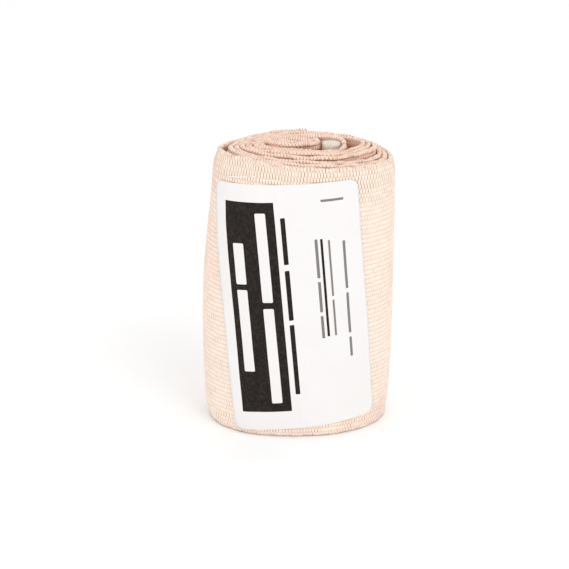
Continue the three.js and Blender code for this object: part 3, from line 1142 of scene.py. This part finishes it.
def label_material():
    material, tree, shader = new_material("label_paper", roughness=0.5)
    shader.inputs["Specular IOR Level"].default_value = 0.2
    paper_map = tree.nodes.new("ShaderNodeUVMap")
    paper_map.uv_map = "UVMap"
    apart = tree.nodes.new("ShaderNodeSeparateXYZ")
    wire(tree, paper_map.outputs[0], apart.inputs[0])
    up = step(tree, "MULTIPLY", apart.outputs[1], 1 / MM)
    across = step(tree, "MULTIPLY", apart.outputs[0], 1 / MM)
    across = step(tree, "MULTIPLY_ADD", up, -PRINT_SLANT, across)

    def bars(rows):
        total = 0.0
        for x, y, width, height, corner in rows:
            mask = use_group(tree, printed_bar, **{
                "Across": across, "Up": up, "Middle across": x, "Middle up": y,
                "Half width": width / 2, "Half height": height / 2, "Corner": corner,
            })["Mask"]
            total = step(tree, "MAXIMUM", mask, total)
        return total

    places = tree.nodes.new("ShaderNodeTexCoord").outputs["Object"]
    cloudy = noise(tree, places, CLOUD_SCALE)
    white = mix(tree, cloudy, PAPER_CLOUD, PAPER_WHITE)
    speckle = ramp(tree, noise(tree, places, SPECKLE_SCALE), 0.35, 0.75)
    ink = mix(tree, speckle, INK_BLACK, INK_SPECKLE)
    block = step(tree, "SUBTRACT", bars(BLOCK), bars(WHITE_BARS))
    colour = mix(tree, bars(GREY_BARS), white, PRINT_GREY)
    colour = mix(tree, step(tree, "MAXIMUM", block, bars(DARK_BARS)), colour, ink)
    wire(tree, colour, shader.inputs["Base Color"])
    grain = noise(tree, places, GRAIN_SCALE, 3.0)
    wire(tree, bump(tree, grain, PAPER_RELIEF), shader.inputs["Normal"])
    return material


# %% Give each piece its finish
thread = thread_material()
for obj, material in [
    (outer_turn, crepe), (inner_turns, inner_crepe), (top_selvedge, edging),
    (bottom_selvedge, edging), (label_sheet, label_material()), (dressing_pad, wadding_material()),
    (hem_stitches, thread), (front_stitches, thread),
]:
    obj.data.materials.clear()
    obj.data.materials.append(material)
    print(obj.name, "is finished in", material.name)

# %% [markdown]
# ## The pieces on one body
# Every piece rides on the one body. The soft pieces replace
# the plain solids, which stay hidden for collision.

# %% Attach each piece to the body, and hide the solids
cloth_pieces = [
    outer_turn, inner_turns, top_selvedge, bottom_selvedge, hem_stitches, front_stitches,
]
for obj in cloth_pieces + [label_sheet, dressing_pad]:
    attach(obj, "root")
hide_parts("elastic_wrap")
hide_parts("elastic_wrap")
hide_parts("label")
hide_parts("absorbent_pad")
print("pieces of cloth or thread:", len(cloth_pieces))

# %% [markdown]
# ## Studio
# The roll stands on a wide pale floor under an even white sky. Two soft boxes, one high on the
# right and one low on the left, bring out the ribs without hard shadows.

# %% Floor and light
FLOOR_HALF = 3
FLOOR_PALE = (0.94, 0.94, 0.94, 1)
SKY_WHITE = (1, 1, 1, 1)

floor_mesh = bpy.data.meshes.new("floor")
bm = bmesh.new()
bmesh.ops.create_grid(bm, x_segments=1, y_segments=1, size=FLOOR_HALF)
bm.to_mesh(floor_mesh)
bm.free()
floor = link(bpy.data.objects.new("floor", floor_mesh))
floor_paint, _, floor_shader = new_material("pale_floor", roughness=0.8)
floor_shader.inputs["Base Color"].default_value = FLOOR_PALE
floor_mesh.materials.append(floor_paint)

world = bpy.data.worlds.new("studio")
world.use_nodes = True
sky = world.node_tree.nodes["Background"]
sky.inputs["Color"].default_value = SKY_WHITE
sky.inputs["Strength"].default_value = 1.0
bpy.context.scene.world = world
bpy.context.scene.view_settings.view_transform = "Standard"


def soft_box(name, place, aim, size, power):
    """A square lamp, turned to its aim. Its power is in watts."""
    light = bpy.data.lights.new(name, "AREA")
    light.size = size
    light.energy = power
    obj = link(bpy.data.objects.new(name, light))
    obj.location = place
    obj.rotation_euler = (Vector(aim) - Vector(place)).to_track_quat("-Z", "Y").to_euler()
    print(name, "size", size, "power", power)


soft_box("key_light", place=(0.5, -0.6, 0.9), aim=(0, 0, 0.05), size=0.6, power=2.6)
soft_box("fill_light", place=(-0.45, -0.85, 0.14), aim=(0, 0, 0.04), size=0.8, power=1.5)

# %% Camera
CAMERA_PITCH = math.radians(24)
CAMERA_DISTANCE = 620 * MM
SENSOR_WIDTH = 36
# In pixels of the photograph: its width, the lens, and how far the target lies from its middle
PICTURE_WIDTH = 569
FOCAL_PIXELS = 1750
RIGHT_OF_MIDDLE = 13.5
ABOVE_MIDDLE = 1.5

target = Vector((0.22, 0.76, 50.8)) * MM
forward = Vector((0, math.cos(CAMERA_PITCH), -math.sin(CAMERA_PITCH)))
upward = Vector((0, math.sin(CAMERA_PITCH), math.cos(CAMERA_PITCH)))
camera_data = bpy.data.cameras.new("camera")
camera_data.sensor_width = SENSOR_WIDTH
camera_data.lens = FOCAL_PIXELS / PICTURE_WIDTH * SENSOR_WIDTH
camera = link(bpy.data.objects.new("camera", camera_data))
aside = (Vector((RIGHT_OF_MIDDLE, 0, 0)) + upward * ABOVE_MIDDLE) / FOCAL_PIXELS
camera.location = target - CAMERA_DISTANCE * (forward + aside)
camera.rotation_euler = (math.pi / 2 - CAMERA_PITCH, 0, 0)
bpy.context.scene.camera = camera
print("lens in mm:", round(camera_data.lens, 1))
